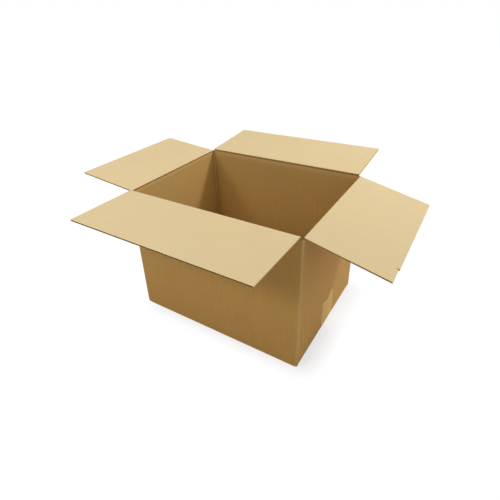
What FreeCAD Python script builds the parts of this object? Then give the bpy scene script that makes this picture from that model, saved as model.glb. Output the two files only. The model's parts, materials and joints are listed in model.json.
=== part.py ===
import FreeCAD, Part

import math
import os

# A plain corrugated shipping carton, standing open with its four top flaps folded out.
# One sheet of single-wall board is creased into four walls and eight flaps, closed by a glue lap
# at the back left corner and taped along the bottom seam. Millimetres and degrees, +Z up. The
# origin is on the ground under the middle of the carton, +X runs along the front wall.

V = FreeCAD.Vector

# ---- driving dimensions ----
inner_length = 400.0        # between the end walls
inner_width = 305.0         # between the front and back walls
inner_height = 292.0        # from the carton's floor to the shut end flaps

board = 3.0                 # thickness of the board
liner = 0.3                 # its flat paper faces
medium = 0.3                # its fluted paper, where it is glued to a face
flank = 0.4                 # the fluted paper between crests, measured level
flute_pitch = 6.5
flute_crest = 1.3           # width of a crest where it is glued down
edge_rim = 1.0              # board beyond the last flute at a flap's side edge

hinge_depth = 1.0           # crease line of a top flap, in from the outer face
crease_gap = 0.3            # between a flap's bend and the wall below it
crushed_length = 8.0        # flutes end this far from a crease, where the board is pressed flat
roll_depth = 0.8            # how far the fold rolls the top of a wall's inner face outwards
hang_angle = 65.0           # lowest a top flap can hang below level

slot_width = 9.0            # slot between two flaps, centred on the upright crease
slot_overcut = 2.0          # top slots run this far below the crushed part of the end walls
post_drop = 0.3             # the carton's corners rise between them to this far below the end crease
post_gap = 0.3              # and stand this far from the flaps' side edges
stack_gap = 0.3             # between flaps that lie shut on each other
top_meeting_gap = 7.0       # between the front and back top flaps when shut
bottom_meeting_gap = 2.0    # between the front and back bottom flaps

lap_width = 35.0            # glue lap of the maker's joint
lap_thickness = 2.0         # its board, pressed by the gluing
lap_setback = 8.0           # lap's corners stop this far short of the creases
lap_taper = 6.0             # and its free edge is this much shorter again at each end
joint_gap = 3.0             # between the left wall and the back wall's raw edge

front_angle = 0.3           # rest angles of the top flaps above level
back_angle = 5.0
left_angle = 5.3
right_angle = -13.5

tape_width = 62.0
tape_thickness = 0.2
tape_rise = 72.0            # up the left end, and the middle height of the torn right end
tear_depth = 6.0            # how far the torn end strays from that height

nick_place = 112.0          # from the middle of the right flap, towards the front
nick_width = 1.4
nick_depth = 4.5
nick_step = 0.9             # torn strip between the nick and the flap's front corner

# ---- worked out ----
half_length = inner_length / 2
half_width = inner_width / 2
bend_radius = board - hinge_depth
slot_inset = slot_width / 2 - board / 2
bottom_level = board + stack_gap
floor_level = bottom_level + board
end_crease = floor_level + inner_height + bend_radius
side_crease = end_crease + board + stack_gap
flap_reach = half_width + bend_radius - top_meeting_gap / 2
side_flap_width = inner_length - 2 * slot_inset
end_flap_width = inner_width - 2 * slot_inset
cos45 = math.cos(math.radians(45))
hang = math.radians(hang_angle)


def crush_line(x):
    """Height of a wall's crushed outer side below the crease, at x outwards from the crease line."""
    return -(hinge_depth + crease_gap + x * math.sin(hang)) / math.cos(hang)


slot_floor = end_crease + crush_line(hinge_depth) - slot_overcut
post_top = end_crease - post_drop

# side of the carton: turn about Z from the right-hand side, and inner face's distance from the middle
SIDES = {"right": (0, half_length), "back": (90, half_width),
         "left": (180, half_length), "front": (270, half_width)}


def outline(items):
    """A face round points in order, where a list of three points is an arc through them."""
    ends = [(item[0], item[2]) if isinstance(item, list) else (item, item) for item in items]
    edges = []
    for number, item in enumerate(items):
        if isinstance(item, list):
            edges.append(Part.Arc(*item).toShape())
        leave = ends[number][1]
        arrive = ends[(number + 1) % len(items)][0]
        if (arrive - leave).Length > 1e-6:
            edges.append(Part.LineSegment(leave, arrive).toShape())
    return Part.Face(Part.Wire(edges))


def box(low, high):
    size = V(*high) - V(*low)
    return Part.makeBox(size.x, size.y, size.z, V(*low))


def on_side(shape, side):
    """Turn a shape built for the right-hand side, with X outwards from the inner face, to its side."""
    turn, distance = SIDES[side]
    placed = shape.copy()
    placed.translate(V(distance, 0, 0))
    placed.rotate(V(0, 0, 0), V(0, 0, 1), turn)
    return placed


def section(points, width):
    """Extrude an outline in the XZ plane across a wall or flap, centred on Y."""
    placed = [[V(x, -width / 2, z) for x, z in item] if isinstance(item, list)
              else V(item[0], -width / 2, item[1]) for item in points]
    return outline(placed).extrude(V(0, width, 0))


def flute_holes(width, x, low):
    """Outlines of the hollow flutes at one cut edge, as wires in the plane at x."""
    cavity = board - 2 * liner
    height = cavity - medium
    lean = medium / height
    crest = flute_crest / 2
    foot = (flute_pitch / 2 - crest * (1 + lean) - flank) / (1 - lean)
    count = int((width - 2 * edge_rim) / flute_pitch)
    first = -count * flute_pitch / 2
    wires = []
    for step in range(2 * count - 1):
        middle = first + (step + 1) * flute_pitch / 2
        flat, tip = (low + liner, 1) if step % 2 == 0 else (low + liner + cavity, -1)
        corners = [(middle - foot, flat), (middle - crest, flat + tip * height),
                   (middle + crest, flat + tip * height), (middle + foot, flat)]
        wires.append(Part.makePolygon([V(x, y, z) for y, z in corners + corners[:1]]))
    return wires


def fluted_board(width, start, end, low):
    """Flat board from x = start to x = end whose flutes run along X, open at both edges."""
    rim = [V(end, y, z) for y, z in ((-width / 2, low), (width / 2, low),
                                     (width / 2, low + board), (-width / 2, low + board))]
    face = Part.makeFace([Part.makePolygon(rim + rim[:1])] + flute_holes(width, end, low),
                         "Part::FaceMakerBullseye")
    return face.extrude(V(start - end, 0, 0))


def fuse(first, *others):
    return first.multiFuse(list(others)).removeSplitter()


# ---- walls ----
def wall_ring(low, high):
    """Four walls from one height to another, with rounded upright creases, open at the glue lap."""
    outer_x = half_length + board
    outer_y = half_width + board
    ring = box((-outer_x, -outer_y, low), (outer_x, outer_y, high))
    rounded = [edge for edge in ring.Edges if abs(edge.Length - (high - low)) < 1e-6
               and not (edge.Vertexes[0].X < 0 and edge.Vertexes[0].Y > 0)]
    ring = ring.makeFillet(board, rounded)
    ring = ring.cut(box((-half_length, -half_width, low), (half_length, half_width, high)))
    raw_edge = -half_length + joint_gap
    return ring.cut(box((-outer_x, half_width, low), (raw_edge, outer_y, high)))


def corner_posts(low, high, gap):
    """The walls' corners between two slots' flaps, standing this far from the flaps' side edges."""
    ring = wall_ring(low, high)
    near_x = half_length - slot_inset + gap
    near_y = half_width - slot_inset + gap
    post = box((near_x, near_y, low), (near_x + 10 * board, near_y + 10 * board, high))
    posts = []
    for quarter in (post, post.mirror(V(0, 0, 0), V(1, 0, 0))):
        posts += [ring.common(quarter), ring.common(quarter.mirror(V(0, 0, 0), V(0, 1, 0)))]
    return posts


def glue_lap():
    """The left wall's back edge, bent round the corner and glued to the outside of the back wall."""
    face_y = half_width + board
    outer_y = face_y + lap_thickness
    outer_x = -half_length - board
    round_x = outer_x + board
    round_y = outer_y - board
    bend = outline([V(outer_x, half_width, bottom_level),
                    [V(outer_x, round_y, bottom_level),
                     V(round_x - board * cos45, round_y + board * cos45, bottom_level),
                     V(round_x, outer_y, bottom_level)],
                    V(-half_length, half_width, bottom_level)])
    bend = bend.extrude(V(0, 0, post_top - bottom_level))
    free_x = -half_length + lap_width
    low = floor_level + lap_setback
    high = slot_floor - lap_setback
    lap = outline([V(-half_length, face_y, low), V(free_x, face_y, low + lap_taper),
                   V(free_x, face_y, high - lap_taper), V(-half_length, face_y, high)])
    return [bend, lap.extrude(V(0, lap_thickness, 0))]


def wall_rim(crease, width):
    """Top of a wall between two slots, crushed on the outside so that its flap can hang."""
    top = -bend_radius - crease_gap
    crest = bend_radius - (hinge_depth + crease_gap + top * math.cos(hang)) / math.sin(hang)
    rise = crease + top - slot_floor
    roll_radius = (rise ** 2 + roll_depth ** 2) / (2 * roll_depth)
    half_turn = math.asin(rise / roll_radius) / 2
    middle = (roll_radius * (1 - math.cos(half_turn)), slot_floor + roll_radius * math.sin(half_turn))
    return section([[(0, slot_floor), middle, (roll_depth, crease + top)], (crest, crease + top),
                    (board, crease + crush_line(hinge_depth)), (board, slot_floor)], width)


# ---- bottom ----
def bottom_bend(level, top):
    """Outline points of a bottom crease, from the bend's underside up the outside of the wall."""
    return [[(0, level), (board * cos45, level + board * (1 - cos45)), (board, level + board)], (board, top)]


def bottom_side_flap():
    """Outer bottom flap of the front or back wall, which meets its twin at the taped seam."""
    bend = section([(0, floor_level), (0, board), (-crushed_length, board), (-crushed_length, 0)]
                   + bottom_bend(0, floor_level), side_flap_width)
    edge = -half_width + bottom_meeting_gap / 2
    flap = fuse(bend, fluted_board(side_flap_width, -crushed_length, edge, 0))
    bed = box((-half_width, -side_flap_width, 0),
              (-half_width + tape_width / 2, side_flap_width, tape_thickness))
    return flap.cut(bed)


def bottom_end_flap():
    """Inner bottom flap of an end wall, which lies on the outer pair."""
    bend = section([(0, floor_level), (-crushed_length, floor_level), (-crushed_length, bottom_level)]
                   + bottom_bend(bottom_level, floor_level), end_flap_width)
    return fuse(bend, fluted_board(end_flap_width, -crushed_length, -flap_reach, bottom_level))


def carton_body():
    pieces = glue_lap()
    pieces += corner_posts(bottom_level, floor_level, 0)
    pieces += corner_posts(slot_floor, post_top, post_gap)
    for side in ("front", "back"):
        pieces.append(on_side(wall_rim(side_crease, side_flap_width), side))
        pieces.append(on_side(bottom_side_flap(), side))
    for side in ("left", "right"):
        pieces.append(on_side(wall_rim(end_crease, end_flap_width), side))
        pieces.append(on_side(bottom_end_flap(), side))
    return fuse(wall_ring(floor_level, slot_floor), *pieces)


# ---- top flaps ----
def top_flap(width):
    """A flap lying level outwards from its bend, which is round about the crease line along Y."""
    low = -hinge_depth
    under = math.asin(hinge_depth / bend_radius)
    middle = -math.radians(135) - under / 2
    bend = section([[(bend_radius * math.cos(under), low),
                     (bend_radius * math.cos(middle), bend_radius * math.sin(middle)), (0, bend_radius)],
                    (crushed_length, bend_radius), (crushed_length, low)], width)
    return fuse(bend, fluted_board(width, crushed_length, flap_reach, low))


def nicked(flap):
    """The right flap's free edge is nicked near its front corner, and the strip beyond is torn back."""
    nick = outline([V(flap_reach + 1, -nick_place - nick_width / 2, -board),
                    V(flap_reach - nick_depth, -nick_place, -board),
                    V(flap_reach + 1, -nick_place + nick_width / 2, -board)])
    strip = box((flap_reach - nick_step, -end_flap_width, -board), (flap_reach + 1, -nick_place, board))
    return flap.cut(nick.extrude(V(0, 0, 2 * board))).cut(strip)


def hung(flap, side, crease, angle):
    """Tilt a flap to its rest angle and set it on its crease."""
    tilted = flap.copy()
    tilted.rotate(V(0, 0, 0), V(0, 1, 0), -angle)
    tilted.translate(V(bend_radius, 0, crease))
    return on_side(tilted, side)


# ---- tape ----
def bottom_tape():
    """Paper tape under the bottom seam and up both ends, its right end torn off unevenly."""
    half_strip = tape_strip()
    right = half_strip.cut(torn_off())
    left = half_strip.copy()
    left.rotate(V(0, 0, 0), V(0, 0, 1), 180)
    left = left.cut(box((-2 * half_length, -tape_width, tape_rise), (0, tape_width, 2 * tape_rise)))
    return fuse(right, left)


def tape_strip():
    """Half of the strip: along the bottom, across to the end wall's bend, round it and up the wall."""
    edge = V(half_length - slot_inset, 0, tape_thickness)
    centre = V(half_length, 0, floor_level)
    away = edge - centre
    turn = math.atan2(away.z, away.x) + math.acos(board / away.Length)
    top = tape_rise + 2 * tear_depth

    def round_bend(angle, radius):
        return V(centre.x + radius * math.cos(angle), 0, centre.z + radius * math.sin(angle))

    outer = board + tape_thickness
    slant = (turn + math.pi / 2) / 2
    corner = V(edge.x - tape_thickness * math.tan(slant), 0, 0)
    face = outline([V(0, 0, tape_thickness), edge,
                    [round_bend(turn, board), round_bend(turn / 2, board), round_bend(0, board)],
                    V(centre.x + board, 0, top), V(centre.x + outer, 0, top),
                    [round_bend(0, outer), round_bend(turn / 2, outer), round_bend(turn, outer)],
                    corner, V(0, 0, 0)])
    face.translate(V(0, -tape_width / 2, 0))
    return face.extrude(V(0, tape_width, 0))


def torn_off():
    """What the tear takes off the strip's right end."""
    half = tape_width / 2
    edge = [(-half, tape_rise + tear_depth / 2), (-half / 4, tape_rise - tear_depth),
            (0, tape_rise - tear_depth), (half / 2, tape_rise + tear_depth), (half, tape_rise)]
    sky = tape_rise + 3 * tear_depth
    points = [V(half_length, y, z) for y, z in [(-half, sky)] + edge + [(half, sky)]]
    return outline(points).extrude(V(2 * board, 0, 0))


def parts():
    side_flap = top_flap(side_flap_width)
    end_flap = top_flap(end_flap_width)
    return {
        "carton_body": carton_body(),
        "front_flap": hung(side_flap, "front", side_crease, front_angle),
        "back_flap": hung(side_flap, "back", side_crease, back_angle),
        "left_flap": hung(end_flap, "left", end_crease, left_angle),
        "right_flap": hung(nicked(end_flap), "right", end_crease, right_angle),
        "bottom_tape": bottom_tape(),
    }


os.makedirs("parts", exist_ok=True)
for node, shape in parts().items():
    shape.exportStep("parts/" + node + ".step")
    print(node, len(shape.Solids), shape.isValid(), len(shape.Faces), round(shape.Volume, 1), shape.BoundBox)
print("crease heights", side_crease, end_crease, "flap reach", flap_reach)
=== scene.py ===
import json
import math

import bpy
from mathutils import Matrix, Vector


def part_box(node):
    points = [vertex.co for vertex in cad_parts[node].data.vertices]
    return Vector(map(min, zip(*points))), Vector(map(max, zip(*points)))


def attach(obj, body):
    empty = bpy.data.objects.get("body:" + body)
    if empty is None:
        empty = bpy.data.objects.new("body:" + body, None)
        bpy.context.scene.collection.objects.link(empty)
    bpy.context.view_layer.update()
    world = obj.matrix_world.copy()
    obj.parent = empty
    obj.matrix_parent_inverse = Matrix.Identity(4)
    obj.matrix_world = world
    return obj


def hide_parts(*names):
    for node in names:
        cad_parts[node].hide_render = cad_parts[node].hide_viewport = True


# The looks of a plain corrugated carton that stands open. Metres, +Z up, in the frame of the
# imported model. The carton's body and its tape are the model's own solids, with a finish each.
# Made here are the four top flaps, as real corrugated board that hangs on the same creases, the
# pinched paper under each of their bends, and the frayed paper at the maker's joint.

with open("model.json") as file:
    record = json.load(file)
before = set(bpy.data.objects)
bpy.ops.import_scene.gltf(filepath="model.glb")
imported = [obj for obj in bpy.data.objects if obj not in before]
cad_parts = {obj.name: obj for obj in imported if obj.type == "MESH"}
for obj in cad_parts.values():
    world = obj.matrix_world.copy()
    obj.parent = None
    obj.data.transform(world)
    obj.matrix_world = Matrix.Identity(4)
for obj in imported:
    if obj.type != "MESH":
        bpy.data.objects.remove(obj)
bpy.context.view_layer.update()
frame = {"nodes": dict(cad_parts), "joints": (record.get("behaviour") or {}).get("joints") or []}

# ---- sizes ----
mm = 0.001
board = 3.0 * mm
liner = 0.3 * mm            # thickness of each of the board's three papers
flute_pitch = 6.5 * mm
liner_sag = 0.05 * mm       # how far a liner sinks between two glued crests
hinge_depth = 1.0 * mm      # crease line of a flap, in from the board's outer face
crushed_length = 8.0 * mm   # the board is pressed flat this far from a crease
crease_gap = 0.3 * mm       # between a flap's bend and the rim of its wall
nick_place = 112.0 * mm     # nick in the right flap's free edge, from its middle towards the front
nick_width = 1.8 * mm
nick_depth = 4.5 * mm
nick_step = 1.5 * mm        # torn strip between the nick and the front corner

# Angles round a bend are in degrees, from straight out over its top to the inside.
fold_start = 145            # the creased inner paper, painted darker as the fold's shade, shows on a bend between these angles
fold_end = 245

# The paper pinched under a bend, at angles that the flap's board leaves free at every pose.
pinch_start = 257.5
pinch_end = 264.5
pinch_gap = 0.06 * mm       # between this paper and the bend
pinch_sunk = 0.6 * mm       # its foot lies this far below the rim of its wall
pinch_outer = -0.05 * mm    # and between these two, out from the crease line
pinch_inner = -0.60 * mm

# The frayed paper edge in the open seam at the maker's joint, in the back left corner. Its pale
# paper is partly a painted highlight.
seam_half = 1.35 * mm       # half the seam, and half the edge's width
edge_half = 0.4 * seam_half     # half the edge's depth
edge_in = 1.1 * seam_half       # its middle, in from the left wall's inner face
edge_back = 0.15 * seam_half    # and back from the back wall's inner face
edge_foot = 2 * mm          # above the floor
edge_head = 9 * mm          # below the walls' top
# Each wave of its fray: the share by which it swells the edge, its rate upwards and its start.
fray_waves = ((0.03, 410, 0), (0.04, 1767, 1), (0.03, 3031, 0))

wave_steps = 10             # faces across one flute
flap_rows = 8               # faces along a flute
bend_steps = 40             # faces round a flap's bend
pinch_steps = 4             # faces along the top of the pinched paper
edge_sides = 12             # faces round the frayed edge
edge_steps = 240            # faces up it
weld_distance = 0.01 * mm

bend_radius = board - hinge_depth
wall_low, wall_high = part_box("carton_body")
outer_x = wall_high.x
outer_y = -wall_low.y
inner_x = outer_x - board
inner_y = outer_y - board
floor_level = 2 * board + crease_gap
wall_top = wall_high.z
tape_low, tape_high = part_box("bottom_tape")
tape_width = tape_high.y - tape_low.y

# ---- colours, linear ----
inner_paper = (0.745, 0.572, 0.306)
# painted shade: the inside of the walls is the flaps' inner paper, painted darker and browner
shaded_wall_paper = (0.560, 0.345, 0.102)
outer_paper = (0.560, 0.308, 0.076)
flute_shade_paper = (0.230, 0.130, 0.042)      # painted shade: the dark of open flutes, on the cut rims and on the flutes' medium
lit_side_paper = (0.420, 0.250, 0.085)     # the flutes' medium along the flaps' side edges: a lighter copy of the painted flute shade, as where the open flute faces the light
# creased paper: crushed in the folds, and painted darker as the folds' shade
creased_and_shaded_paper = (0.420, 0.257, 0.077)
# paler paper: wear on the upright creases, and painted light there and over the rolled rims
worn_and_lit_paper = (0.640, 0.420, 0.160)
# torn paper: bare fibres, made paler still as a painted highlight
torn_and_lit_paper = (0.880, 0.640, 0.290)
# crushed paper at the nick, painted darker as the notch's shade
bruised_and_shaded_paper = (0.120, 0.060, 0.018)
tape_paper = (0.700, 0.428, 0.122)
olive_tint = (0.96, 1.01, 1.06)    # how the paper's greener patches differ

board_roughness = 0.88
plain_roughness = 0.95
tape_roughness = 0.62

# ---- marks in kraft paper: scales in blobs for each metre, levels as shares of the colour ----
cloud_scales = (9, 28)
cloud_level = 0.030
speckle_scales = (190, 430)
speckle_level = 0.024
hue_scale = 11              # the greener patches
hue_range = 0.4             # half the range of noise over which they come in
streak_scale = 230
streak_along = 0.08         # streaks are drawn out along the grain to this share of the scale
streak_through = 0.1        # and through a level sheet to this one
flute_line = 0.3            # a line along each flute, next to a streak of 1
shown_scale = 14            # streaks and lines show only in patches of this scale
shown_range = 0.35
fibre_scales = (1500, 2600)
fibre_drawn = ((1, 1, 0.35), (0.3, 1, 1))
fibre_levels = (0.045, 0.035)
fibre_relief = 0.3 * mm
fleck_scale = 900
fleck_stops = [(0.60, 0.0), (0.72, 1.0)]
fleck_level = 0.10
wall_relief = 0.05 * mm     # how far the flutes of the walls show as waves in their paper
rough_scale = 700           # the plain finishes
rough_relief_scale = 1200
rough_relief = 0.1 * mm

# ---- telling the faces of the carton's own solids apart ----
skin = 0.5 * mm             # a point this near an inner face belongs to it
facing_end = 0.7            # a face turned this far to X is on an end wall
facing_up = 0.6             # a face turned this far to Z lies level
rim_depth = 12 * mm         # the cut rims lie within this of the walls' top

# ---- marks at places on the board: each is full within its core and gone at its reach ----
bruise_shade_core = Vector((1.5 * mm, 0.7 * mm))      # dark spot at the nick, crushed paper and painted shade, from its middle
bruise_shade_reach = Vector((3.5 * mm, 1.5 * mm))
joint_core = Vector((4.5 * mm, 2.5 * mm))       # painted shade of the seam and corner at the maker's joint, from the left and back walls
joint_reach = Vector((6.5 * mm, 4.5 * mm))
joint_shade_level = 0.7
roll_core = 5 * mm          # painted light: a lighter band over the rolled rims, from the walls' top
roll_reach = 15 * mm
roll_light_level = 0.6
wear_and_light_core = 1 * mm          # upright creases, worn and painted lighter as a highlight, from both outer faces
wear_and_light_reach = 7 * mm
wear_and_light_scale = 90
wear_and_light_drawn = (1, 1, 0.3)
wear_and_light_level = 0.48
wear_and_light_spread = 0.6

# ---- marks in the tape ----
line_scale = 90
line_drawn = (0.2, 8, 0.2)
line_level = 0.07
line_relief = 0.6 * mm
smudge_scale = 150
smudge_level = 0.09
tear_unit = 100 * mm
# The torn end's line: places as shares of the tape's width, and heights as shares of that unit.
tear_line = [(0.0, 0.75), (0.375, 0.66), (0.5, 0.66), (0.75, 0.78), (1.0, 0.72)]
tear_core = 0.5 * mm        # bare fibres at the torn end, painted lighter as a highlight too, from the tear down
tear_reach = 3.0 * mm
tear_scale = 900
tear_fibre_and_light_level = 0.8
tear_spread = 0.4


# ---- nodes ----
class Socket:
    """A node's output. Python's operators on it add Math nodes to its tree."""

    def __init__(self, tree, socket):
        self.tree = tree
        self.socket = socket

    def maths(self, operation, *values):
        return self.tree.node("ShaderNodeMath", {"operation": operation}, dict(enumerate(values)))

    def __add__(self, other):
        return self.maths("ADD", self, other)

    __radd__ = __add__

    def __sub__(self, other):
        return self.maths("SUBTRACT", self, other)

    def __rsub__(self, other):
        return self.maths("SUBTRACT", other, self)

    def __mul__(self, other):
        return self.maths("MULTIPLY", self, other)

    __rmul__ = __mul__

    def __truediv__(self, other):
        return self.maths("DIVIDE", self, other)

    def __abs__(self):
        return self.maths("ABSOLUTE", self)

    def __lt__(self, other):
        return self.maths("LESS_THAN", self, other)

    def __gt__(self, other):
        return self.maths("GREATER_THAN", self, other)

    def cos(self):
        return self.maths("COSINE", self)

    def root(self):
        return self.maths("SQRT", self)

    def at_least(self, other):
        return self.maths("MAXIMUM", self, other)

    def at_most(self, other):
        return self.maths("MINIMUM", self, other)


class Tree:
    """A node tree, for shading or for geometry, with one way to add any node."""

    def __init__(self, tree):
        self.tree = tree
        tree.nodes.clear()

    def node(self, kind, settings=None, inputs=None, output=0):
        """A new node's output. Its settings come first, then its inputs' values or links."""
        made = self.tree.nodes.new(kind)
        for name, value in (settings or {}).items():
            if name == "stops":
                ramp = made.color_ramp.elements
                while len(ramp) < len(value):
                    ramp.new(0.5)
                for element, (place, level) in zip(ramp, value):
                    element.position = place
                    element.color = (level, level, level, 1)
            else:
                setattr(made, name, value)
        for name, value in (inputs or {}).items():
            for one in value if isinstance(value, list) else [value]:
                self.feed(made.inputs[name], one)
        return Socket(self, made.outputs[output]) if made.outputs else None

    def feed(self, socket, value):
        """Links an output to an input, or gives the input a value."""
        if isinstance(value, Socket):
            self.tree.links.new(value.socket, socket)
        elif isinstance(value, tuple) and len(value) == 3 and socket.type == "RGBA":
            socket.default_value = (*value, 1)
        else:
            socket.default_value = value

    def parts(self, vector):
        """The three numbers of a vector."""
        split = self.node("ShaderNodeSeparateXYZ", None, {0: vector}).socket.node
        return [Socket(self, output) for output in split.outputs]

    def vector(self, x, y, z):
        return self.node("ShaderNodeCombineXYZ", None, {0: x, 1: y, 2: z})


# ---- finishes ----
class Finish(Tree):
    """A material that starts with no nodes but where on the piece each point is."""

    def __init__(self, name):
        self.material = bpy.data.materials.new(name)
        self.material.use_nodes = True
        super().__init__(self.material.node_tree)
        self.place = self.node("ShaderNodeTexCoord", None, None, "Object")

    def noise(self, scale, detail=2.0, drawn=(1, 1, 1)):
        """Smooth noise from about -1 to 1, with scale in blobs for each metre.

        It is drawn out along an axis whose number in drawn is under 1.
        """
        place = self.node("ShaderNodeVectorMath", {"operation": "MULTIPLY"},
                          {0: self.place, 1: drawn})
        level = self.node("ShaderNodeTexNoise", None,
                          {"Vector": place, "Scale": scale, "Detail": detail}, "Fac")
        return (level - 0.5) * 2

    def blend(self, share, first, second):
        """The first colour where the share is 0, and the second where it is 1."""
        # A Mix node's colour sockets are its inputs 6 and 7 and its output 2.
        inputs = {0: share, 6: first, 7: second}
        return self.node("ShaderNodeMix", {"data_type": "RGBA"}, inputs, 2)

    def scaled(self, colour, level):
        """A colour made lighter or darker by a number."""
        inputs = {0: colour, "Scale": level}
        return self.node("ShaderNodeVectorMath", {"operation": "SCALE"}, inputs)

    def tinted(self, colour, tint):
        """A colour multiplied by another."""
        return self.node("ShaderNodeVectorMath", {"operation": "MULTIPLY"}, {0: colour, 1: tint})

    def ramp(self, value, stops):
        """The level at a value, by stops that each have a place and a level."""
        return self.node("ShaderNodeValToRGB", {"stops": stops}, {0: value})

    def rise(self, value, low, high):
        """Smoothly from 0 at the low value to 1 at the high one."""
        inputs = {"Value": value, "From Min": low, "From Max": high}
        return self.node("ShaderNodeMapRange", {"interpolation_type": "SMOOTHSTEP"}, inputs)

    def near(self, distance, core, reach):
        """1 within the core of something, and smoothly down to 0 at its reach."""
        return 1 - self.rise(distance, core, reach)

    def surface(self, colour, roughness, height):
        """The finished material, with a relief whose height is in metres."""
        relief = {"Height": height, "Distance": 1.0, "Strength": 1.0}
        normal = self.node("ShaderNodeBump", None, relief)
        inputs = {"Base Color": colour, "Roughness": roughness, "Normal": normal}
        shader = self.node("ShaderNodeBsdfPrincipled", None, inputs)
        self.node("ShaderNodeOutputMaterial", None, {"Surface": shader})
        return self.material


def kraft(finish, colour, across, grain, flute_relief, streaking, mottling):
    """Unbleached paper over flutes: its colour and its height at each point.

    It has clouds, speckles, fibres and dark flecks, and in patches it shows streaks along the
    grain and the lines of the flutes, which follow each other along the coordinate across.
    Streaking is the level of the streaks, and mottling the strength of the clouds and hues.
    """
    flutes = (across * (2 * math.pi / flute_pitch)).cos()
    clouds = finish.noise(cloud_scales[0]) + finish.noise(cloud_scales[1], detail=3)
    speckles = finish.noise(speckle_scales[0]) + finish.noise(speckle_scales[1], detail=1)
    shown = finish.rise(finish.noise(shown_scale), -shown_range, shown_range)
    streaks = finish.noise(streak_scale, drawn=grain) + flutes * flute_line
    coarse = finish.noise(fibre_scales[0], drawn=fibre_drawn[0]) * fibre_levels[0]
    fine = finish.noise(fibre_scales[1], detail=1, drawn=fibre_drawn[1]) * fibre_levels[1]
    fibres = coarse + fine
    flecks = finish.ramp(finish.noise(fleck_scale, detail=1), fleck_stops)
    level = (1 + clouds * (cloud_level * mottling) + speckles * speckle_level
             + streaks * (shown * streaking) + fibres - flecks * fleck_level)
    height = flutes * flute_relief + fibres * fibre_relief
    patches = finish.rise(finish.noise(hue_scale), -hue_range, hue_range)
    hue = finish.blend(patches * mottling, colour, finish.tinted(colour, olive_tint))
    return finish.scaled(hue, level), height


def liner_finish(name, colour, axis, bruise_and_shade=None):
    """Paper of a flap's face, with a dark spot of crushed paper and painted shade about the nick if
    one is given.

    The flutes follow each other along X if the axis is 0, and along Y if it is 1.
    """
    finish = Finish(name)
    place = finish.parts(finish.place)
    # A dark spot about the nick: crushed paper and painted shade.
    if bruise_and_shade:
        spot = (finish.near(abs(place[0] - bruise_and_shade.x), bruise_shade_core.x, bruise_shade_reach.x)
                * finish.near(abs(place[1] - bruise_and_shade.y), bruise_shade_core.y, bruise_shade_reach.y))
        colour = finish.blend(spot, colour, bruised_and_shaded_paper)
    along_y = (1, streak_along, streak_through)
    along_x = (streak_along, 1, streak_through)
    grain = along_y if axis == 0 else along_x
    colour, height = kraft(finish, colour, place[axis], grain,
                           flute_relief=0.0, streaking=0.034, mottling=0.5)
    return finish.surface(colour, board_roughness, height)


def plain_finish(name, colour, clouding):
    """Rough paper of one colour, for the flutes, side edges, creases and the frayed edge."""
    finish = Finish(name)
    level = 1 + finish.noise(rough_scale) * clouding
    height = finish.noise(rough_relief_scale) * rough_relief
    return finish.surface(finish.scaled(colour, level), plain_roughness, height)


def wall_finish():
    """The carton's walls and floor. Inside, paler paper than out, which is the flaps' inner paper
    painted darker and browner as shade, with painted light over the rolled rims and painted shade
    at the maker's joint. Outside, upright creases worn and painted lighter as a highlight. Cut rims
    painted in the shade of their open flutes.
    """
    finish = Finish("carton board")
    x, y, z = finish.parts(finish.place)
    turned = finish.parts(finish.node("ShaderNodeTexCoord", None, None, "Normal"))
    inside = (abs(x) < inner_x + skin) * (abs(y) < inner_y + skin) * (z > floor_level - skin)
    end_wall = abs(turned[0]) > facing_end
    across = y * end_wall + x * (1 - end_wall)
    # Upright outer creases: worn, and painted lighter as a highlight.
    wear_and_highlight = (finish.near(outer_x - abs(x), wear_and_light_core, wear_and_light_reach)
            * finish.near(outer_y - abs(y), wear_and_light_core, wear_and_light_reach)
            * (wear_and_light_level + finish.noise(wear_and_light_scale, detail=3, drawn=wear_and_light_drawn) * wear_and_light_spread))
    # Cut rims: painted in the dark of their open flutes' shade.
    cut = (turned[2] > facing_up) * (z > wall_top - rim_depth)
    # Painted light: a lighter band over the rolled rims of the inner walls.
    rolled = finish.near(wall_top - z, roll_core, roll_reach)
    # Painted shade in the back left corner, at the maker's joint.
    joint = (finish.near(inner_x + x, joint_core.x, joint_reach.x)
             * finish.near(inner_y - y, joint_core.y, joint_reach.y))
    # Inside the walls: the flaps' paper in painted shade, lighter over the rolled rims.
    inner = finish.blend(rolled * roll_light_level, shaded_wall_paper, worn_and_lit_paper)
    inner = finish.blend(joint * joint_shade_level, inner, creased_and_shaded_paper)
    colour = finish.blend(wear_and_highlight * (1 - inside), outer_paper, worn_and_lit_paper)
    colour = finish.blend(inside, colour, inner)
    colour = finish.blend(cut, colour, flute_shade_paper)
    colour, height = kraft(finish, colour, across, grain=(1, 1, streak_along),
                           flute_relief=wall_relief, streaking=0.110, mottling=1.0)
    return finish.surface(colour, board_roughness, height)


def tape_finish():
    """Gummed kraft tape: smoother than the board, lined along it, with bare fibres at its tear,
    painted lighter as a highlight too.
    """
    finish = Finish("kraft tape")
    x, y, z = finish.parts(finish.place)
    lines = finish.noise(line_scale, drawn=line_drawn) * line_level
    level = 1 + lines + finish.noise(smudge_scale, detail=3) * smudge_level
    share = (y + tape_width / 2) * (1 / tape_width)
    below = finish.ramp(share, tear_line) * tear_unit - z
    # Bare fibres at the torn end, painted lighter as a highlight too.
    fibres = finish.near(below, tear_core, tear_reach) * (x > 0)
    fibres = fibres * (tear_fibre_and_light_level + finish.noise(tear_scale) * tear_spread)
    colour = finish.blend(fibres, finish.scaled(tape_paper, level), torn_and_lit_paper)
    return finish.surface(colour, tape_roughness, lines * line_relief)


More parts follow.
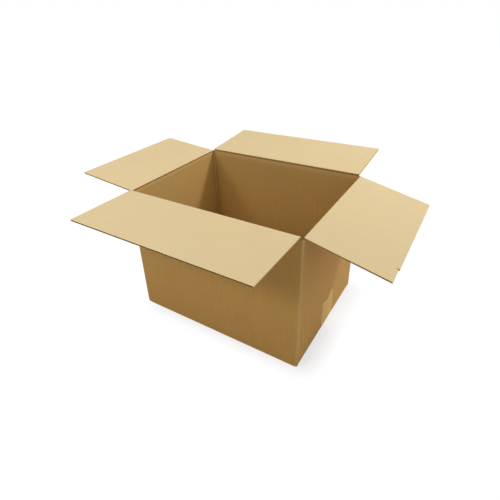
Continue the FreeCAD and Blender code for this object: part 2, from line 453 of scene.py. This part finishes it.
# ---- corrugated board ----
class Pattern(Tree):
    """A geometry node tree with named inputs, each with its kind of socket."""

    def __init__(self, name, inputs):
        self.group = bpy.data.node_groups.new(name, "GeometryNodeTree")
        super().__init__(self.group)
        sockets = self.group.interface
        for label, kind in inputs.items():
            sockets.new_socket(label, in_out="INPUT", socket_type=kind)
        sockets.new_socket("Geometry", in_out="OUTPUT", socket_type="NodeSocketGeometry")
        entry = self.tree.nodes.new("NodeGroupInput")
        self.given = {label: Socket(self, entry.outputs[label]) for label in inputs}

    def mesh(self, name, values, thickness):
        """The tree's result for these values, its sheets given a thickness, as a plain mesh."""
        carrier = bpy.data.objects.new(name, bpy.data.meshes.new(name))
        bpy.context.scene.collection.objects.link(carrier)
        modifier = carrier.modifiers.new("pattern", "NODES")
        modifier.node_group = self.group
        for item in self.group.interface.items_tree:
            if item.in_out == "INPUT":
                modifier[item.identifier] = values[item.name]
        solid = carrier.modifiers.new("thickness", "SOLIDIFY")
        solid.thickness = thickness
        solid.offset = 0
        bpy.context.view_layer.update()
        evaluated = carrier.evaluated_get(bpy.context.evaluated_depsgraph_get())
        result = bpy.data.meshes.new_from_object(evaluated)
        bpy.data.objects.remove(carrier)
        return result


def corrugated_pattern():
    """Flutes side by side: each is a grid of one wave, repeated on a line of points and welded.

    The waved medium and the two liners are sheets along the middles of their papers.
    """
    pattern = Pattern("corrugated board", {
        "Length": "NodeSocketFloat", "Width": "NodeSocketFloat", "Flutes": "NodeSocketInt",
        "Board": "NodeSocketFloat", "Liner": "NodeSocketFloat", "Liner Sag": "NodeSocketFloat",
        "Inner Liner": "NodeSocketMaterial", "Outer Liner": "NodeSocketMaterial",
        "Medium": "NodeSocketMaterial"})
    given = pattern.given
    pitch = given["Width"] / given["Flutes"]
    start = pattern.vector(0, (pitch - given["Width"]) * 0.5, 0)
    points = pattern.node("GeometryNodeMeshLine", None,
                          {"Count": given["Flutes"], "Start Location": start,
                           "Offset": pattern.vector(0, pitch, 0)})
    along, across = pattern.parts(pattern.node("GeometryNodeInputPosition"))[:2]
    wave = (across * (2 * math.pi) / pitch).cos()
    # A liner is flat where it leaves the pressed board, and has its full sag one row further on.
    full_sag = given["Liner Sag"] * 0.5
    sag = ((along / given["Length"] + 0.5) * flap_rows * full_sag).at_most(full_sag)
    liner_height = (given["Board"] - given["Liner"]) * 0.5
    crest_height = liner_height - given["Liner"]

    def sheet(height, material):
        cell = pattern.node("GeometryNodeMeshGrid", None,
                            {"Size X": given["Length"], "Size Y": pitch,
                             "Vertices X": flap_rows + 1, "Vertices Y": wave_steps + 1})
        shaped = pattern.node("GeometryNodeSetPosition", None,
                              {"Geometry": cell, "Offset": pattern.vector(0, 0, height)})
        row = pattern.node("GeometryNodeInstanceOnPoints", None,
                           {"Points": points, "Instance": shaped})
        real = pattern.node("GeometryNodeRealizeInstances", None, {"Geometry": row})
        welded = pattern.node("GeometryNodeMergeByDistance", None,
                              {"Geometry": real, "Distance": weld_distance})
        return pattern.node("GeometryNodeSetMaterial", None,
                            {"Geometry": welded, "Material": material})

    sheets = [sheet(wave * crest_height, given["Medium"]),
              sheet(liner_height - (1 - wave) * sag, given["Inner Liner"]),
              sheet((1 + wave) * sag - liner_height, given["Outer Liner"])]
    together = pattern.node("GeometryNodeJoinGeometry", None, {"Geometry": sheets})
    pattern.node("NodeGroupOutput", None, {"Geometry": together})
    return pattern


# ---- bars ----
def arc(radius, start, end, steps):
    """Points on a circle about the origin, with angles in degrees."""
    angles = [math.radians(start + (end - start) * step / steps) for step in range(steps + 1)]
    return [(radius * math.cos(angle), radius * math.sin(angle)) for angle in angles]


def swept(name, sections):
    """A closed bar through its sections, each anticlockwise as seen from beyond the last."""
    count = len(sections[0])
    last = count * (len(sections) - 1)
    faces = [list(reversed(range(count))), list(range(last, last + count))]
    for ring in range(0, last, count):
        for i in range(count):
            a = ring + i
            b = ring + (i + 1) % count
            faces.append([a, b, b + count, a + count])
    mesh = bpy.data.meshes.new(name)
    mesh.from_pydata([point for section in sections for point in section], [], faces)
    return mesh


def bar(name, outline, width):
    """A closed bar along Y with an outline in X and Z, anticlockwise as seen from -Y."""
    return swept(name, [[(x, y, z) for x, z in outline] for y in (width / 2, -width / 2)])


def joined(name, meshes):
    """One object from several meshes that are already in place."""
    objects = []
    for mesh in meshes:
        made = bpy.data.objects.new(name, mesh)
        bpy.context.scene.collection.objects.link(made)
        objects.append(made)
    if len(objects) > 1:
        with bpy.context.temp_override(active_object=objects[0], selected_editable_objects=objects):
            bpy.ops.object.join()
    objects[0].name = name
    return objects[0]


# ---- flaps ----
class Crease:
    """Where a top flap hangs on its wall, read from its joint."""

    def __init__(self, joint):
        self.body = joint["child"]
        self.side = self.body.split("_")[0]
        self.middle = Vector(joint["pos_m"])
        self.along = -Vector(joint["axis"])
        self.up = Vector((0, 0, 1))
        self.out = self.along.cross(self.up)
        self.angle = math.pi - math.radians(joint["range_deg"][1])
        low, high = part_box(self.body)
        self.width = abs((high - low).dot(self.along))
        self.reach = max(abs((corner - self.middle).dot(self.out)) for corner in (low, high))

    def level(self):
        """Local axes with X outwards, Y along the crease and Z up."""
        return self.axes(0)

    def tilted(self):
        """The same axes turned with the flap at rest."""
        return self.axes(self.angle)

    def axes(self, angle):
        x = self.out * math.cos(angle) + self.up * math.sin(angle)
        z = self.up * math.cos(angle) - self.out * math.sin(angle)
        matrix = Matrix((x, self.along, z)).transposed().to_4x4()
        matrix.translation = self.middle
        return matrix


creases = [Crease(joint) for joint in frame["joints"]]
# The four flaps are equally long, and the most level one's box says how long most closely.
flap_reach = min(crease.reach / math.cos(crease.angle) for crease in creases)


def flap_root(crease, finishes):
    """The flap's flat-pressed board and its round bend, up to where the flutes begin."""
    inner, outer, folded, side = range(4)
    under = math.degrees(math.asin(hinge_depth / bend_radius))
    outline = arc(bend_radius, 90, 360 - under, bend_steps)
    outline += [(crushed_length, -hinge_depth), (crushed_length, bend_radius)]
    mesh = bar("flap root", outline, crease.width)
    for finish in finishes:
        mesh.materials.append(finish)
    for polygon in mesh.polygons:
        middle = polygon.center
        turn = math.degrees(math.atan2(middle.z, middle.x)) % 360
        on_bend = middle.length < bend_radius + crease_gap
        if abs(middle.y) > (crease.width - board) / 2:
            polygon.material_index = side
        elif on_bend and fold_start < turn < fold_end:
            polygon.material_index = folded
        else:
            polygon.material_index = inner if middle.z > 0 else outer
    return mesh


def flap_board(crease, pattern, inner, outer, medium, side):
    """The flap's fluted board, lying level with its flutes along X.

    The half flute along each side edge stands open to the light and has its own finish, painted
    lighter as lit.
    """
    length = flap_reach - crushed_length
    mesh = pattern.mesh("board", {"Length": length, "Width": crease.width,
                                  "Flutes": round(crease.width / flute_pitch),
                                  "Board": board, "Liner": liner, "Liner Sag": liner_sag,
                                  "Inner Liner": inner, "Outer Liner": outer,
                                  "Medium": medium}, liner)
    fluted = list(mesh.materials).index(medium)
    mesh.materials.append(side)
    for polygon in mesh.polygons:
        at_side = abs(polygon.center.y) > (crease.width - flute_pitch) / 2
        if at_side and polygon.material_index == fluted:
            polygon.material_index = len(mesh.materials) - 1
    mesh.transform(Matrix.Translation((crushed_length + length / 2, 0, bend_radius - board / 2)))
    return mesh


def nicked(mesh):
    """The right flap's free edge, nicked near its front corner, with the strip beyond torn off."""
    for vertex in mesh.vertices:
        beyond = -nick_place - vertex.co.y
        notch = nick_depth * max(0.0, 1 - abs(beyond) / (nick_width / 2))
        limit = flap_reach - max(notch, nick_step if beyond > 0 else 0.0)
        vertex.co.x = min(vertex.co.x, limit)


def make_flap(crease, pattern, folded, medium, side):
    """A top flap of real corrugated board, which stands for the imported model's plainer one."""
    axis = 0 if crease.side in ("front", "back") else 1
    bruise_and_shade = None
    if crease.side == "right":
        bruise_and_shade = crease.tilted() @ Vector((flap_reach - nick_depth / 2, -nick_place, 0))
    inner = liner_finish("inner liner " + crease.side, inner_paper, axis, bruise_and_shade)
    outer = liner_finish("outer liner " + crease.side, outer_paper, axis)
    meshes = [flap_root(crease, [inner, outer, folded, side]),
              flap_board(crease, pattern, inner, outer, medium, side)]
    if crease.side == "right":
        nicked(meshes[1])
    for mesh in meshes:
        mesh.transform(crease.tilted())
    flap = joined(crease.side + "_flap_board", meshes)
    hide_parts(crease.body)
    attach(flap, crease.body)


def make_crease_paper(crease, finish):
    """The fold's pinched paper, which stands on a wall's rim and reaches the bend that turns on it.

    It fills only the angles that the flap's board leaves free from hanging down to shut.
    """
    foot = -(bend_radius + crease_gap + pinch_sunk)
    outline = arc(bend_radius + pinch_gap, pinch_end, pinch_start, pinch_steps)
    outline += [(pinch_inner, foot), (pinch_outer, foot)]
    mesh = bar("pinched paper", outline, crease.width)
    mesh.materials.append(finish)
    mesh.transform(crease.level())
    paper = joined(crease.side + "_crease_paper", [mesh])
    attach(paper, "carton")


def make_joint_edge(finish):
    """The frayed paper edge that stands in the open seam at the maker's joint, its pale paper
    partly a painted highlight.
    """
    oval = arc(1.0, 0, 360 * (edge_sides - 1) / edge_sides, edge_sides - 1)
    low = floor_level + edge_foot
    high = wall_top - edge_head
    sections = []
    for step in range(edge_steps + 1):
        z = low + (high - low) * step / edge_steps
        fray = 1 + sum(share * math.sin(z * rate + start) for share, rate, start in fray_waves)
        sections.append([(-inner_x + edge_in + x * seam_half * fray,
                          inner_y + edge_back + y * edge_half * fray, z) for x, y in oval])
    mesh = swept("joint edge", sections)
    mesh.materials.append(finish)
    edge = joined("joint_edge_paper", [mesh])
    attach(edge, "carton")


board_finish = wall_finish()
# The flutes' medium is painted in the dark of their shade.
fluted_finish = plain_finish("fluted paper", flute_shade_paper, clouding=0.15)
# Creased paper of the folds and of the pinched paper: painted darker as the folds' shade too.
folded_finish = plain_finish("creased paper", creased_and_shaded_paper, clouding=0.08)
# The side edges' paper is painted lighter, as lit.
side_finish = plain_finish("paper at a side edge", lit_side_paper, clouding=0.15)
board_pattern = corrugated_pattern()
for crease in creases:
    make_flap(crease, board_pattern, folded_finish, fluted_finish, side_finish)
    make_crease_paper(crease, folded_finish)

# The frayed edge's pale paper is partly a painted highlight.
make_joint_edge(plain_finish("frayed paper", torn_and_lit_paper, clouding=0.2))

for name, finish in (("carton_body", board_finish), ("bottom_tape", tape_finish())):
    frame["nodes"][name].data.materials.clear()
    frame["nodes"][name].data.materials.append(finish)


# ---- stage ----
floor_half = 6.0            # half the floor's width
floor_colour = (0.8, 0.8, 0.8)
white = (1.0, 1.0, 1.0)
floor_strength = 1.03       # a little over 1, so that the floor is plain white all over
shadow_shift = 20 * mm      # the soft shadow on the floor lies a little to the carton's right
shadow_inset = 30 * mm      # it fades from this far inside the walls
shadow_reach = 75 * mm      # over this distance
shadow_depth = 0.38
under_back = 0.5 * mm       # the dark under the carton ends this far behind its back wall
lamp_aim = Vector((0, 0, 0.25))


def make_floor():
    """A white floor with a shadow where the carton stands, which fades to none close by."""
    mesh = bpy.data.meshes.new("floor")
    corners = [(x * floor_half, y * floor_half, 0) for x, y in ((-1, -1), (1, -1), (1, 1), (-1, 1))]
    mesh.from_pydata(corners, [], [[0, 1, 2, 3]])
    floor = bpy.data.objects.new("floor", mesh)
    bpy.context.scene.collection.objects.link(floor)
    finish = Finish("floor")
    x, y = finish.parts(finish.place)[:2]
    aside = (abs(x - shadow_shift) - (outer_x - shadow_inset)).at_least(0)
    along = (abs(y) - (outer_y - shadow_inset)).at_least(0)
    shadow = finish.near((aside * aside + along * along).root(), 0.0, shadow_reach)
    beside = 1 - (abs(x) < inner_x) * (y > -inner_y) * (y < outer_y + under_back)
    paper = finish.node("ShaderNodeBsdfDiffuse", None, {"Color": floor_colour})
    glow = finish.node("ShaderNodeEmission", None, {"Color": white, "Strength": floor_strength})
    shown = finish.node("ShaderNodeMixShader", None,
                        {0: (1 - shadow * shadow_depth) * beside, 1: paper, 2: glow})
    seen = finish.node("ShaderNodeLightPath", None, None, "Is Camera Ray")
    mixed = finish.node("ShaderNodeMixShader", None, {0: seen, 1: paper, 2: shown})
    finish.node("ShaderNodeOutputMaterial", None, {"Surface": mixed})
    mesh.materials.append(finish.material)


def make_world(ambient):
    """Even light from all round, and plain white where the camera sees past the floor."""
    world = bpy.data.worlds.new("studio")
    bpy.context.scene.world = world
    world.use_nodes = True
    tree = Tree(world.node_tree)
    seen = tree.node("ShaderNodeLightPath", None, None, "Is Camera Ray")
    strength = seen * (1.0 - ambient) + ambient
    sky = tree.node("ShaderNodeBackground", None, {"Color": white, "Strength": strength})
    tree.node("ShaderNodeOutputWorld", None, {"Surface": sky})


def make_lamp(name, turn, height, distance, size, level):
    """A round lamp aimed at the carton, at angles anticlockwise from the front and up from level.

    The level is its share of the plain light level at the carton.
    """
    lamp = bpy.data.lights.new(name, "AREA")
    lamp.shape = "DISK"
    lamp.size = size
    lamp.energy = level * (math.pi * distance) ** 2
    made = bpy.data.objects.new(name, lamp)
    made.rotation_euler = (math.radians(90 - height), 0, math.radians(turn))
    made.location = lamp_aim + made.rotation_euler.to_matrix() @ Vector((0, 0, distance))
    bpy.context.scene.collection.objects.link(made)


def make_camera(place, turn, lens, shift):
    """The camera, turned by degrees about X, Y and Z, with its lens in millimetres."""
    camera = bpy.data.objects.new("camera", bpy.data.cameras.new("camera"))
    bpy.context.scene.collection.objects.link(camera)
    camera.location = place
    camera.rotation_euler = [math.radians(angle) for angle in turn]
    camera.data.lens = lens
    camera.data.shift_x, camera.data.shift_y = shift
    bpy.context.scene.camera = camera


make_floor()
make_world(ambient=0.26)
make_lamp("key from the back right", turn=142, height=48, distance=1.8, size=0.30, level=0.51)
make_lamp("front left", turn=330, height=28, distance=1.3, size=0.22, level=0.12)
make_lamp("front", turn=344, height=35, distance=1.3, size=0.22, level=0.143)
make_lamp("wide from the left", turn=265, height=42, distance=1.2, size=0.9, level=0.20)
make_lamp("wide from the right", turn=90, height=30, distance=4.0, size=4.0, level=0.245)
make_camera(place=(0.41484, -0.66413, 0.63848), turn=(61.027, 2.142, 32.812), lens=28.026,
            shift=(0.02756, -0.05475))
bpy.context.scene.view_settings.view_transform = "Standard"
